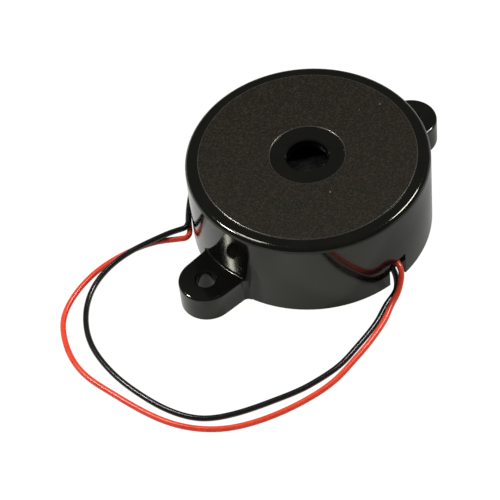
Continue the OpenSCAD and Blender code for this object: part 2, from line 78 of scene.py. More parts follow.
class Tree:
    """A shader node tree, with short calls that add nodes and link them."""

    def __init__(self, tree: bpy.types.NodeTree) -> None:
        """Wrap the node tree of a material, a world or a group."""
        self.tree = tree

    def add(self, kind: str, sockets: dict | None = None, **settings: object) -> bpy.types.Node:
        """Add a node.

        Args:
            kind: The node's type, without its "ShaderNode" start.
            sockets: Input name or number, with a value or an output socket to link to it.
            settings: The node's own properties.

        Returns:
            The new node.
        """
        node = self.tree.nodes.new("ShaderNode" + kind)
        for name, value in settings.items():
            setattr(node, name, value)
        for key, value in (sockets or {}).items():
            self.feed(node, key, value)
        return node

    def feed(self, node: bpy.types.Node, key: str | int, value: object) -> None:
        """Give a node's input a value, or link it to a socket.

        Args:
            node: The node.
            key: The input's name or number.
            value: A number, a colour or an output socket.
        """
        if isinstance(value, bpy.types.NodeSocket):
            self.tree.links.new(value, node.inputs[key])
        else:
            node.inputs[key].default_value = value

    def math(self, operation: str, *terms: object, clamp: bool = False) -> bpy.types.NodeSocket:
        """Add a Math node.

        Args:
            operation: The node's operation.
            terms: Its inputs in order, as numbers or sockets.
            clamp: Whether the result is kept from 0 to 1.

        Returns:
            The result's socket.
        """
        node = self.add("Math", dict(enumerate(terms)), operation=operation, use_clamp=clamp)
        return node.outputs[0]

    def span(self, value: object, low: float, high: float, to_low: float = 0.0,
             to_high: float = 1.0, smooth: bool = False) -> bpy.types.NodeSocket:
        """Map a value from one span to another, and clamp it.

        Args:
            value: The socket to map.
            low: Value that gives to_low.
            high: Value that gives to_high.
            to_low: Result at low.
            to_high: Result at high.
            smooth: Whether the ends are eased.

        Returns:
            The result's socket.
        """
        kind = "SMOOTHSTEP" if smooth else "LINEAR"
        sockets = {"Value": value, "From Min": low, "From Max": high, "To Min": to_low, "To Max": to_high}
        return self.add("MapRange", sockets, interpolation_type=kind).outputs["Result"]

    def mix(self, share: object, first: object, second: object) -> bpy.types.NodeSocket:
        """Mix two colours.

        Args:
            share: How much of the second colour.
            first: First colour, as four numbers or a socket.
            second: Second colour.

        Returns:
            The mixed colour's socket.
        """
        node = self.add("Mix", {0: share, 6: first, 7: second}, data_type="RGBA")
        return node.outputs[2]

    def blend(self, share: object, first: object, second: object) -> bpy.types.NodeSocket:
        """Mix two numbers.

        Args:
            share: How much of the second number.
            first: First number, or a socket.
            second: Second number, or a socket.

        Returns:
            The mixed number's socket.
        """
        return self.add("Mix", {0: share, 2: first, 3: second}, data_type="FLOAT").outputs[0]

    def noise(self, place: bpy.types.NodeSocket, scale: object, detail: float = 2.0,
              roughness: float = 0.5) -> bpy.types.NodeSocket:
        """Add a noise.

        Args:
            place: Socket with the place that it is read at.
            scale: Its scale, as a number or a socket.
            detail: How many finer layers it has.
            roughness: How strong each finer layer is.

        Returns:
            The socket with its value, from 0 to 1.
        """
        sockets = {"Vector": place, "Scale": scale, "Detail": detail, "Roughness": roughness}
        return self.add("TexNoise", sockets).outputs["Fac"]

    def place(self) -> bpy.types.NodeSocket:
        """Return a socket with the place on the object, in metres."""
        return self.add("TexCoord").outputs["Object"]

    def axes(self, vector: bpy.types.NodeSocket) -> bpy.types.bpy_prop_collection:
        """Return the sockets X, Y and Z of a vector."""
        return self.add("SeparateXYZ", {0: vector}).outputs

    def upward(self) -> bpy.types.NodeSocket:
        """Return a socket that is 1 where the surface looks straight up, and 0 where it is upright."""
        return self.axes(self.add("NewGeometry").outputs["Normal"])["Z"]


def rgba(colour: Colour) -> tuple[float, float, float, float]:
    """Return a colour with full opacity."""
    return (*colour, 1.0)


def direction(azimuth: float, elevation: float) -> Vector:
    """Return the unit vector to a place in the sky.

    Args:
        azimuth: Degrees from +X towards +Y.
        elevation: Degrees above the floor.

    Returns:
        The vector.
    """
    turn, rise = math.radians(azimuth), math.radians(elevation)
    return Vector((math.cos(turn) * math.cos(rise), math.sin(turn) * math.cos(rise), math.sin(rise)))


def show(name: str, data: bpy.types.ID) -> bpy.types.Object:
    """Make an object of a mesh, curve, light or camera, and add it to the scene.

    Args:
        name: The object's name.
        data: What it shows.

    Returns:
        The object.
    """
    piece = bpy.data.objects.new(name, data)
    bpy.context.scene.collection.objects.link(piece)
    return piece


class Effect(Enum):
    """Surface effects that several finishes share, each one node group."""

    GRAIN = "spark_grain"
    WAVES = "moulding_waves"
    DUST = "dust_specks"
    SCRATCHES = "fine_scratches"
    MOTTLE = "mottled_tone"


class Effects:
    """Builds each shared effect's node group once and places it in materials.

    Each SPAN holds two values: the effect starts at the first and is full at the second.
    """

    GRAIN_DETAIL = 2.0
    GRAIN_ROUGHNESS = 0.6
    TONE_SCALE_SHARE = 0.6
    TONE_DETAIL = 3.0
    TONE_ROUGHNESS = 0.65
    TONE_SPAN = (0.47, 0.70)
    WAVE_DETAIL = 1.0
    WAVE_ROUGHNESS = 0.4
    SMALLEST_SPECK = 0.3
    SPECK_UP_SPAN = (0.5, 0.9)
    HAIRLINE_TURNS = (0.5, -0.9)
    HAIRLINE_TILTS = (0.3, 0.2)
    HAIRLINE_STRETCH = (0.04, 1.0, 1.0)
    HAIRLINE_DETAIL = 4.0
    HAIRLINE_ROUGHNESS = 0.7
    HAIRLINE_WIDTH = 0.012
    NOISE_MIDDLE = 0.5
    WEAR_SCALE = 150.0
    WEAR_SPAN = (0.45, 0.7)
    MOTTLE_DETAIL = 3.0
    MOTTLE_ROUGHNESS = 0.55
    MOTTLE_SPAN = (0.35, 0.65)

    def __init__(self) -> None:
        """Start with no groups."""
        self.made: dict[Effect, bpy.types.NodeTree] = {}
        self.makers = {
            Effect.GRAIN: self.grain,
            Effect.WAVES: self.waves,
            Effect.DUST: self.dust,
            Effect.SCRATCHES: self.scratches,
            Effect.MOTTLE: self.mottle,
        }

    def use(self, tree: Tree, effect: Effect, **inputs: object) -> bpy.types.Node:
        """Place an effect in a material.

        Args:
            tree: The material's tree.
            effect: Which effect.
            inputs: Its inputs by name, as numbers, colours or sockets.

        Returns:
            The group node.
        """
        if effect not in self.made:
            self.made[effect] = self.makers[effect](effect.value)
        return tree.add("Group", inputs, node_tree=self.made[effect])

    def start(self, name: str, inputs: dict[str, float | Colour], outputs: dict[str, str]) \
            -> tuple[Tree, bpy.types.Node, bpy.types.Node]:
        """Make an empty group with named sockets.

        Args:
            name: The group's name.
            inputs: Input names with their default numbers or colours.
            outputs: Output names with their kinds, Float or Color.

        Returns:
            The group's tree, its input node and its output node.
        """
        group = bpy.data.node_groups.new(name, "ShaderNodeTree")
        for label, value in inputs.items():
            kind = "NodeSocketFloat" if isinstance(value, float) else "NodeSocketColor"
            socket = group.interface.new_socket(label, in_out="INPUT", socket_type=kind)
            socket.default_value = value if isinstance(value, float) else rgba(value)
        for label, kind in outputs.items():
            group.interface.new_socket(label, in_out="OUTPUT", socket_type="NodeSocket" + kind)
        return Tree(group), group.nodes.new("NodeGroupInput"), group.nodes.new("NodeGroupOutput")

    def grain(self, name: str) -> bpy.types.NodeTree:
        """Build the fine pitted grain of a spark-eroded mould face.

        Args:
            name: The group's name.

        Returns:
            A group with Height and Tone, each from 0 to 1.
        """
        tree, given, out = self.start(name, {"Scale": 2500.0, "Pits": 0.5},
                                      {"Height": "Float", "Tone": "Float"})
        place, scale = tree.place(), given.outputs["Scale"]
        rough = tree.noise(place, scale, self.GRAIN_DETAIL, self.GRAIN_ROUGHNESS)
        cells = tree.add("TexVoronoi", {"Vector": place, "Scale": scale},
                         feature="SMOOTH_F1").outputs["Distance"]
        pits = tree.math("MULTIPLY", cells, given.outputs["Pits"])
        tree.feed(out, "Height", tree.math("ADD", rough, pits, clamp=True))
        coarse = tree.math("MULTIPLY", scale, self.TONE_SCALE_SHARE)
        tone = tree.noise(place, coarse, self.TONE_DETAIL, self.TONE_ROUGHNESS)
        tree.feed(out, "Tone", tree.span(tone, *self.TONE_SPAN))
        return tree.tree

    def waves(self, name: str) -> bpy.types.NodeTree:
        """Build the slow shallow waves of a glossy moulded wall.

        Args:
            name: The group's name.

        Returns:
            A group with Height, from 0 to 1.
        """
        tree, given, out = self.start(name, {"Scale": 250.0}, {"Height": "Float"})
        noise = tree.noise(tree.place(), given.outputs["Scale"], self.WAVE_DETAIL, self.WAVE_ROUGHNESS)
        tree.feed(out, "Height", noise)
        return tree.tree

    def dust(self, name: str) -> bpy.types.NodeTree:
        """Build sparse dust specks that lie on faces that look up.

        Args:
            name: The group's name.

        Returns:
            A group with Mask, 1 on a speck.
        """
        tree, given, out = self.start(name, {"Scale": 700.0, "Share": 0.1, "Size": 0.3},
                                      {"Mask": "Float"})
        cells = tree.add("TexVoronoi", {"Vector": tree.place(), "Scale": given.outputs["Scale"]})
        lot = tree.add("SeparateColor", {"Color": cells.outputs["Color"]})
        chosen = tree.math("LESS_THAN", lot.outputs["Red"], given.outputs["Share"])
        size = tree.span(lot.outputs["Green"], 0, 1, self.SMALLEST_SPECK, 1)
        reach = tree.math("MULTIPLY", given.outputs["Size"], size)
        inside = tree.math("LESS_THAN", cells.outputs["Distance"], reach)
        up = tree.span(tree.upward(), *self.SPECK_UP_SPAN)
        tree.feed(out, "Mask", tree.math("MULTIPLY", tree.math("MULTIPLY", chosen, inside), up))
        return tree.tree

    def scratches(self, name: str) -> bpy.types.NodeTree:
        """Build fine hairline handling marks in two directions.

        Args:
            name: The group's name.

        Returns:
            A group with Mask, 1 on a hairline.
        """
        tree, given, out = self.start(name, {"Scale": 400.0, "Share": 0.5}, {"Mask": "Float"})
        lines: list[bpy.types.NodeSocket] = []
        for turn in self.HAIRLINE_TURNS:
            sockets = {"Vector": tree.place(), "Rotation": (*self.HAIRLINE_TILTS, turn),
                       "Scale": self.HAIRLINE_STRETCH}
            stretched = tree.add("Mapping", sockets).outputs["Vector"]
            noise = tree.noise(stretched, given.outputs["Scale"], self.HAIRLINE_DETAIL,
                               self.HAIRLINE_ROUGHNESS)
            away = tree.math("ABSOLUTE", tree.math("SUBTRACT", noise, self.NOISE_MIDDLE))
            lines.append(tree.span(away, 0.0, self.HAIRLINE_WIDTH, 1.0, 0.0))
        worn = tree.span(tree.noise(tree.place(), self.WEAR_SCALE), *self.WEAR_SPAN)
        shown = tree.math("MULTIPLY", tree.math("MAXIMUM", *lines), worn)
        tree.feed(out, "Mask", tree.math("MULTIPLY", shown, given.outputs["Share"], clamp=True))
        return tree.tree

    def mottle(self, name: str) -> bpy.types.NodeTree:
        """Build a slow drift between two tones.

        Args:
            name: The group's name.

        Returns:
            A group with Colour.
        """
        tree, given, out = self.start(name, {"Scale": 200.0, "First": (0.1, 0.1, 0.1),
                                             "Second": (0.2, 0.2, 0.2)}, {"Colour": "Color"})
        noise = tree.noise(tree.place(), given.outputs["Scale"], self.MOTTLE_DETAIL,
                           self.MOTTLE_ROUGHNESS)
        share = tree.span(noise, *self.MOTTLE_SPAN)
        tree.feed(out, "Colour", tree.mix(share, given.outputs["First"], given.outputs["Second"]))
        return tree.tree


EFFECTS = Effects()


# Finishes

@dataclass(frozen=True)
class Finish:
    """A finish of one tone that drifts, with a fine grain and a roughness that varies."""

    name: str
    first: Colour
    second: Colour
    roughness: float = 0.4
    roughness_drift: float = 0.06
    metallic: float = 0.0
    ior: float = 1.5
    drift_scale: float = 250.0
    grain_scale: float = 2500.0
    grain_depth: float = 0.004 * MM

    @cache
    def build(self) -> bpy.types.Material:
        """Make the material, once.

        Returns:
            The material.
        """
        material = bpy.data.materials.new(self.name + "_finish")
        material.use_nodes = True
        tree = Tree(material.node_tree)
        self.wire(tree, material.node_tree.nodes["Principled BSDF"])
        return material

    def tone(self, tree: Tree) -> bpy.types.NodeSocket:
        """Return a socket with the drifting colour."""
        node = EFFECTS.use(tree, Effect.MOTTLE, Scale=self.drift_scale, First=rgba(self.first),
                           Second=rgba(self.second))
        return node.outputs["Colour"]

    def gloss(self, tree: Tree, grain: bpy.types.Node) -> bpy.types.NodeSocket:
        """Return a socket with the roughness, which varies with a grain's tone."""
        low, high = self.roughness - self.roughness_drift, self.roughness + self.roughness_drift
        return tree.span(grain.outputs["Tone"], 0, 1, low, high)

    def bump(self, tree: Tree, height: bpy.types.NodeSocket, depth: float,
             under: bpy.types.NodeSocket | None = None) -> bpy.types.NodeSocket:
        """Turn a height into a normal.

        Args:
            tree: The material's tree.
            height: Height, counted in depths.
            depth: Real depth of a height of 1.
            under: Normal that this one is laid on.

        Returns:
            The normal's socket.
        """
        sockets = {"Height": height, "Distance": depth, "Strength": 1.0}
        if under is not None:
            sockets["Normal"] = under
        return tree.add("Bump", sockets).outputs["Normal"]

    def wire(self, tree: Tree, shader: bpy.types.Node) -> None:
        """Wire the shader's inputs.

        Args:
            tree: The material's tree.
            shader: Its Principled BSDF.
        """
        grain = EFFECTS.use(tree, Effect.GRAIN, Scale=self.grain_scale)
        tree.feed(shader, "Metallic", self.metallic)
        tree.feed(shader, "IOR", self.ior)
        tree.feed(shader, "Base Color", self.tone(tree))
        tree.feed(shader, "Roughness", self.gloss(tree, grain))
        tree.feed(shader, "Normal", self.bump(tree, grain.outputs["Height"], self.grain_depth))


@dataclass(frozen=True)
class GlossCase(Finish):
    """Glossy black moulding with a grained sound face, some dust, and ears whose tops slope a little.

    The face lies above face_level, and its edge just below; a pale metallic tone on the edge is a
    painted highlight. ear_slopes are the rises of the ears' tops along X away from the middle, and
    along Y.
    """

    face_level: float = 0.0
    face_first: Colour = (0.0004, 0.0003, 0.0002)
    face_second: Colour = (0.0580, 0.0460, 0.0290)
    face_pits: float = 0.6
    face_roughness: float = 0.29
    face_roughness_drift: float = 0.06
    face_grain_scale: float = 5600.0
    face_grain_depth: float = 0.025 * MM
    patch_warm: Colour = (0.0110, 0.0052, 0.0032)
    patch_cool: Colour = (0.0050, 0.0042, 0.0030)
    patch_scale: float = 350.0
    patch_share: float = 0.4
    wave_scale: float = 220.0
    wave_depth: float = 0.004 * MM
    mark_scale: float = 350.0
    mark_share: float = 0.5
    mark_roughness: float = 0.15
    dust: Colour = (0.30, 0.28, 0.24)
    dust_scale: float = 600.0
    dust_share: float = 0.03
    dust_size: float = 0.10
    edge_drop: float = 0.165 * MM
    # Pale metallic tone on the face's edge: a painted highlight.
    edge_highlight_tone: Colour = (0.10, 0.095, 0.085)
    edge_highlight_metallic: float = 0.7
    edge_roughness: float = 0.26
    ear_top: float = 6.0 * MM
    ear_level_above: float = 0.95
    ear_slopes: tuple[float, float] = (0.070, -0.034)
    specular: Colour = (1.0, 1.0, 0.85)

    def colours(self, tree: Tree, face: bpy.types.NodeSocket, edge: bpy.types.NodeSocket,
                grain: bpy.types.Node) -> bpy.types.NodeSocket:
        """Mix the tones of the walls, the face and its edge, whose pale tone is a painted highlight.

        Args:
            tree: The material's tree.
            face: 1 on the face.
            edge: 1 on the face's edge.
            grain: The face's grain.

        Returns:
            The colour's socket.
        """
        grained = tree.mix(grain.outputs["Tone"], rgba(self.face_first), rgba(self.face_second))
        patches = EFFECTS.use(tree, Effect.MOTTLE, Scale=self.patch_scale, First=rgba(self.patch_warm),
                              Second=rgba(self.patch_cool))
        grained = tree.mix(self.patch_share, grained, patches.outputs["Colour"])
        # The face's edge gets a pale tone: a painted highlight.
        return tree.mix(face, tree.mix(edge, self.tone(tree), rgba(self.edge_highlight_tone)), grained)

    def ear_rise(self, tree: Tree, place: bpy.types.bpy_prop_collection) -> bpy.types.NodeSocket:
        """Work out the height that makes the level tops of the ears slope.

        Args:
            tree: The material's tree.
            place: Sockets with the place along X, Y and Z.

        Returns:
            The height's socket, in metres, and 0 off the ears' tops.
        """
        ear = tree.math("MULTIPLY", tree.math("GREATER_THAN", tree.upward(), self.ear_level_above),
                        tree.math("LESS_THAN", place["Z"], self.ear_top))
        outward = tree.math("MULTIPLY", tree.math("ABSOLUTE", place["X"]), self.ear_slopes[0])
        sideways = tree.math("MULTIPLY", place["Y"], self.ear_slopes[1])
        return tree.math("MULTIPLY", tree.math("ADD", outward, sideways), ear)

    def wire(self, tree: Tree, shader: bpy.types.Node) -> None:
        """Wire the shader's inputs.

        Args:
            tree: The material's tree.
            shader: Its Principled BSDF.
        """
        place = tree.axes(tree.place())
        face = tree.math("GREATER_THAN", place["Z"], self.face_level)
        raised = tree.math("GREATER_THAN", place["Z"], self.face_level - self.edge_drop)
        edge = tree.math("SUBTRACT", raised, face)
        grain = EFFECTS.use(tree, Effect.GRAIN, Scale=self.face_grain_scale, Pits=self.face_pits)
        fine = EFFECTS.use(tree, Effect.GRAIN, Scale=self.grain_scale)
        waves = EFFECTS.use(tree, Effect.WAVES, Scale=self.wave_scale)
        marks = EFFECTS.use(tree, Effect.SCRATCHES, Scale=self.mark_scale, Share=self.mark_share)
        dust = EFFECTS.use(tree, Effect.DUST, Scale=self.dust_scale, Share=self.dust_share,
                           Size=self.dust_size).outputs["Mask"]

        colour = self.colours(tree, face, edge, grain)
        tree.feed(shader, "Base Color", tree.mix(dust, colour, rgba(self.dust)))
        # Metallic on the face's edge strengthens its painted highlight.
        tree.feed(shader, "Metallic", tree.math("MULTIPLY", edge, self.edge_highlight_metallic))

        rubbed = tree.math("MULTIPLY", marks.outputs["Mask"], self.mark_roughness)
        marked = tree.math("ADD", self.gloss(tree, fine), rubbed)
        matt = tree.span(grain.outputs["Tone"], 0, 1, self.face_roughness + self.face_roughness_drift,
                         self.face_roughness - self.face_roughness_drift)
        smooth = tree.blend(edge, marked, self.edge_roughness)
        tree.feed(shader, "Roughness", tree.blend(tree.math("MAXIMUM", face, dust), smooth, matt))

        wavy = self.bump(tree, waves.outputs["Height"], self.wave_depth)
        even = self.bump(tree, fine.outputs["Height"], self.grain_depth, wavy)
        pitted = self.bump(tree, tree.math("MULTIPLY", grain.outputs["Height"], face),
                           self.face_grain_depth, even)
        tree.feed(shader, "Normal", self.bump(tree, self.ear_rise(tree, place), METRE, pitted))
        tree.feed(shader, "IOR", self.ior)
        tree.feed(shader, "Specular Tint", rgba(self.specular))


@dataclass(frozen=True)
class Insulation(Finish):
    """Glossy extruded lead insulation with faint waves and handling marks."""

    wave_scale: float = 900.0
    mark_scale: float = 900.0
    mark_share: float = 0.4
    mark_roughness: float = 0.2

    def wire(self, tree: Tree, shader: bpy.types.Node) -> None:
        """Wire the shader's inputs.

        Args:
            tree: The material's tree.
            shader: Its Principled BSDF.
        """
        waves = EFFECTS.use(tree, Effect.WAVES, Scale=self.wave_scale)
        grain = EFFECTS.use(tree, Effect.GRAIN, Scale=self.grain_scale)
        marks = EFFECTS.use(tree, Effect.SCRATCHES, Scale=self.mark_scale, Share=self.mark_share)
        rubbed = tree.math("MULTIPLY", marks.outputs["Mask"], self.mark_roughness)
        tree.feed(shader, "Base Color", self.tone(tree))
        tree.feed(shader, "Roughness", tree.math("ADD", self.gloss(tree, grain), rubbed))
        tree.feed(shader, "Normal", self.bump(tree, waves.outputs["Height"], self.grain_depth))
        tree.feed(shader, "IOR", self.ior)


@dataclass(frozen=True)
class Winding(Finish):
    """Enamelled copper wire, wound in level turns along Z."""

    wire_d: float = 0.12 * MM
    groove_roughness: float = 0.15

    def wire(self, tree: Tree, shader: bpy.types.Node) -> None:
        """Wire the shader's inputs.

        Args:
            tree: The material's tree.
            shader: Its Principled BSDF.
        """
        phase = tree.math("MULTIPLY", tree.axes(tree.place())["Z"], 2 * math.pi / self.wire_d)
        turns = tree.span(tree.math("SINE", phase), -1, 1)
        rough = tree.span(turns, 0, 1, self.roughness + self.groove_roughness, self.roughness)
        tree.feed(shader, "Base Color", self.tone(tree))
        tree.feed(shader, "Roughness", rough)
        tree.feed(shader, "Normal", self.bump(tree, turns, self.wire_d / 2))
        tree.feed(shader, "Metallic", self.metallic)


@dataclass(frozen=True)
class ShadedTopMetal(Finish):
    """Metal whose upper side, seen through the sound hole, carries painted shade: near black, not metal.
    """

    # Painted shade: near black on the upward-looking side, seen through the sound hole.
    outer_tone: Colour = (0.0012, 0.0012, 0.0011)
    up_span: tuple[float, float] = (0.4, 0.6)

    def wire(self, tree: Tree, shader: bpy.types.Node) -> None:
        """Wire the shader's inputs.

        Args:
            tree: The material's tree.
            shader: Its Principled BSDF.
        """
        super().wire(tree, shader)
        # Painted shade: the upper side turns near black and loses its metal.
        up = tree.span(tree.upward(), *self.up_span)
        tree.feed(shader, "Base Color", tree.mix(up, self.tone(tree), rgba(self.outer_tone)))
        tree.feed(shader, "Metallic", tree.math("SUBTRACT", self.metallic, up, clamp=True))


@dataclass(frozen=True)
class Banded(Finish):
    """Resistor barrel with a lacquered body and coloured rings along X; their sizes are shares of its
    length.
    """

    centre_x: float = 0.0
    length: float = 6.3 * MM
    bands: tuple[Colour, ...] = ()
    band_pitch: float = 0.17
    band_half: float = 0.035

    def tone(self, tree: Tree) -> bpy.types.NodeSocket:
        """Lay the rings over the lacquer.

        Args:
            tree: The material's tree.

        Returns:
            The colour's socket.
        """
        along = tree.axes(tree.place())["X"]
        share = tree.math("DIVIDE", tree.math("SUBTRACT", along, self.centre_x), self.length)
        colour = super().tone(tree)
        for k, band in enumerate(self.bands):
            middle = (k - (len(self.bands) - 1) / 2) * self.band_pitch
            away = tree.math("ABSOLUTE", tree.math("SUBTRACT", share, middle))
            colour = tree.mix(tree.math("LESS_THAN", away, self.band_half), colour, rgba(band))
        return colour


FACE_MARGIN = 0.005 * MM
CASE_BLACK = GlossCase("case_black", (0.0040, 0.0040, 0.0032), (0.0054, 0.0052, 0.0042), roughness=0.12,
                       roughness_drift=0.03, ior=1.46, grain_depth=0.0004 * MM,
                       face_level=CASE_BOX[1].z - FACE_MARGIN)
COVER_BLACK = Finish("cover_black", (0.006, 0.006, 0.006), (0.009, 0.009, 0.009), roughness=0.45,
                     grain_depth=0.01 * MM)
BRASS = ShadedTopMetal("brass", (0.42, 0.27, 0.08), (0.50, 0.33, 0.11), roughness=0.34, metallic=1.0,
                  drift_scale=120.0, grain_scale=4000.0, grain_depth=0.002 * MM)
CERAMIC = Finish("piezo_ceramic", (0.56, 0.50, 0.38), (0.62, 0.56, 0.43), roughness=0.6)
SILVER = Finish("silver_print", (0.70, 0.70, 0.68), (0.80, 0.80, 0.78), roughness=0.38, metallic=0.9,
                grain_scale=5000.0)
SEALANT = Finish("sealant", (0.70, 0.70, 0.66), (0.78, 0.78, 0.74), roughness=0.3, drift_scale=500.0,
                 grain_scale=700.0, grain_depth=0.05 * MM)
LAMINATE = Finish("board_laminate", (0.33, 0.19, 0.08), (0.39, 0.23, 0.10), roughness=0.45,
                  grain_scale=1500.0, grain_depth=0.008 * MM)
FERRITE = Finish("ferrite", (0.030, 0.030, 0.032), (0.045, 0.044, 0.046), roughness=0.5,
                 grain_scale=3000.0, grain_depth=0.01 * MM)
COPPER = Winding("copper_wire", (0.50, 0.17, 0.07), (0.62, 0.23, 0.10), roughness=0.25, metallic=1.0)
TINNED = Finish("tinned_wire", (0.62, 0.61, 0.59), (0.74, 0.73, 0.71), roughness=0.28, metallic=1.0,
                drift_scale=900.0, grain_scale=5000.0, grain_depth=0.002 * MM)
EPOXY = Finish("moulded_epoxy", (0.010, 0.010, 0.011), (0.015, 0.015, 0.016), roughness=0.55,
               grain_scale=6000.0, grain_depth=0.006 * MM)
SOLDER = Finish("solder", (0.60, 0.60, 0.60), (0.72, 0.72, 0.71), roughness=0.24, metallic=1.0,
                drift_scale=600.0, grain_scale=1500.0, grain_depth=0.01 * MM)
RED_PVC = Insulation("red_pvc", (0.80, 0.052, 0.020), (0.88, 0.070, 0.030), roughness=0.28,
                     roughness_drift=0.05, grain_depth=0.004 * MM, drift_scale=500.0)
BLACK_PVC = Insulation("black_pvc", (0.006, 0.006, 0.006), (0.010, 0.010, 0.009), roughness=0.24,
                       roughness_drift=0.05, grain_depth=0.004 * MM, drift_scale=500.0)


def dress(node: str, finish: Finish) -> None:
    """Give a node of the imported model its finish.

    Args:
        node: The node's name.
        finish: Its finish.
    """
    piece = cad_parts[node]
    piece.data.materials.clear()
    piece.data.materials.append(finish.build())
    log.info("%s: %s", node, finish.name)


# Camera

@dataclass(frozen=True)
class Viewpoint:
    """The camera's place, given by what it looks at and from where. Angles are in degrees."""

    target: Point = (-0.016937, -0.002752, 0.008)
    distance: float = 0.364087
    azimuth: float = 231.770
    elevation: float = 50.431
    roll: float = -6.904
    lens: float = 155.04
    nearest: float = 0.01

    def build(self) -> None:
        """Make the camera, and set it as the scene's own."""
        back = direction(self.azimuth, self.elevation)
        data = bpy.data.cameras.new("camera")
        data.lens = self.lens
        data.clip_start = self.nearest
        camera = show("camera", data)
        level = (-back).to_track_quat("-Z", "Y").to_matrix()
        roll = Matrix.Rotation(math.radians(self.roll), 3, "Z")
        camera.matrix_world = Matrix.LocRotScale(Vector(self.target) + self.distance * back,
                                                 (level @ roll).to_quaternion(), None)
        bpy.context.scene.camera = camera


# Leads

def smooth_route(points_mm: list[Point], step: float, floor: float) -> np.ndarray:
    """Run a natural cubic spline through a route's points.

    Args:
        points_mm: The route's points in millimetres.
        step: Distance between the spline's points.
        floor: Lowest height of the line.

    Returns:
        The spline's points in metres, one a row.
    """
    points = np.array(points_mm) * MM
    runs = np.linalg.norm(np.diff(points, axis=0), axis=1)
    at = np.concatenate([[0.0], np.cumsum(runs)])
    count = len(points)
    left, right = np.eye(count), np.zeros((count, 3))
    for i in range(1, count - 1):
        before, after = runs[i - 1], runs[i]
        left[i, i - 1:i + 2] = before, 2 * (before + after), after
        right[i] = 6 * ((points[i + 1] - points[i]) / after - (points[i] - points[i - 1]) / before)
    bend = np.linalg.solve(left, right)
    where = np.linspace(0.0, at[-1], int(at[-1] / step) + 1)
    k = np.clip(np.searchsorted(at, where, side="right") - 1, 0, count - 2)
    run = runs[k][:, None]
    a = (at[k + 1] - where)[:, None] / run
    b = 1 - a
    line = a * points[k] + b * points[k + 1]
    line += ((a ** 3 - a) * bend[k] + (b ** 3 - b) * bend[k + 1]) * run ** 2 / 6
    line[:, 2] = np.maximum(line[:, 2], floor)
    return line


def tube_faces(first: int, rings: int, sides: int) -> list[tuple[int, ...]]:
    """List a closed tube's faces.

    Args:
        first: Number of the tube's first point.
        rings: How many rings of faces it has.
        sides: How many points each ring has.

    Returns:
        The faces, each as its points' numbers.
    """
    faces: list[tuple[int, ...]] = []
    for start in range(first, first + rings * sides, sides):
        for k in range(sides):
            a, b = start + k, start + (k + 1) % sides
            faces.append((a, b, b + sides, a + sides))
    faces.append(tuple(first + k for k in reversed(range(sides))))
    faces.append(tuple(first + rings * sides + k for k in range(sides)))
    return faces


@dataclass
class Lead:
    """A lead: the insulated wire along its route, and the twisted tinned strands at its end.

    One strand is straight and the others are wound round it at orbit strand diameters, once in each
    lay. Strand by strand they end a little short of strip, by shortfall times 0, 1 or 2.
    """

    name: str
    points_mm: list[Point]
    exit: Point
    finish: Finish
    diameter: float = 1.0 * MM
    length: float = 0.151
    step: float = 0.3 * MM
    roundness: int = 6
    strip: float = 5 * MM
    strand_d: float = 0.16 * MM
    strands: int = 6
    orbit: float = 1.02
    lay: float = 6 * MM
    shortfall: float = 0.03
    tip_sides: int = 10
    tip_rings: int = 40

    def insulation(self) -> bpy.types.Object:
        """Make the insulated wire.

        Returns:
            The wire, as a curve.
        """
        line = smooth_route(self.points_mm, self.step, self.diameter / 2)
        curve = bpy.data.curves.new(self.name + "_wire", "CURVE")
        curve.dimensions = "3D"
        curve.bevel_depth = self.diameter / 2
        curve.bevel_resolution = self.roundness
        curve.use_fill_caps = True
        spline = curve.splines.new("POLY")
        spline.points.add(len(line) - 1)
        for point, place in zip(spline.points, line):
            point.co = (*place, 1.0)
        spline.use_smooth = True
        curve.materials.append(self.finish.build())
        return show(self.name + "_wire", curve)

    def strand_points(self, number: int, ahead: Vector, side: Vector, top: Vector) -> list[Vector]:
        """List the points round one strand.

        Args:
            number: Which strand; the last one is the straight one.
            ahead: Direction of the lead's end.
            side: Direction across it.
            top: Direction across both.

        Returns:
            The points, ring by ring.
        """
        end = Vector(self.points_mm[-1]) * MM
        orbit = 0.0 if number == self.strands else self.strand_d * self.orbit
        reach = self.strip * (1 - self.shortfall * (number % 3))
        points: list[Vector] = []
        for ring in range(self.tip_rings + 1):
            share = ring / self.tip_rings
            turn = 2 * math.pi * (number / self.strands + share * self.strip / self.lay)
            middle = end + ahead * reach * share
            middle += orbit * (math.cos(turn) * side + math.sin(turn) * top)
            for k in range(self.tip_sides):
                angle = 2 * math.pi * k / self.tip_sides
                out = math.cos(angle) * side + math.sin(angle) * top
                points.append(middle + self.strand_d / 2 * out)
        return points

    def tip(self) -> bpy.types.Object:
        """Make the bared end as a bundle of twisted strands.

        Returns:
            The bundle, as one mesh.
        """
        ahead = (Vector(self.points_mm[-1]) * MM - Vector(self.points_mm[-2]) * MM).normalized()
        side = ahead.cross(Vector((0, 0, 1))).normalized()
        top = side.cross(ahead)
        points: list[Vector] = []
        faces: list[tuple[int, ...]] = []
        for number in range(self.strands + 1):
            faces += tube_faces(len(points), self.tip_rings, self.tip_sides)
            points += self.strand_points(number, ahead, side, top)
        mesh = bpy.data.meshes.new(self.name + "_strands")
        mesh.from_pydata(points, [], faces)
        mesh.shade_smooth()
        mesh.materials.append(TINNED.build())
        return show(self.name + "_strands", mesh)

    def build(self) -> None:
        wire, tip = self.insulation(), self.tip()
        parts = ((wire, self.name, self.finish.name), (tip, self.name + "_tip", TINNED.name))
        for piece, node, slot in parts:
            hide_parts(node)
            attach(piece, "root")
            log.info("%s stands for %s", piece.name, node)


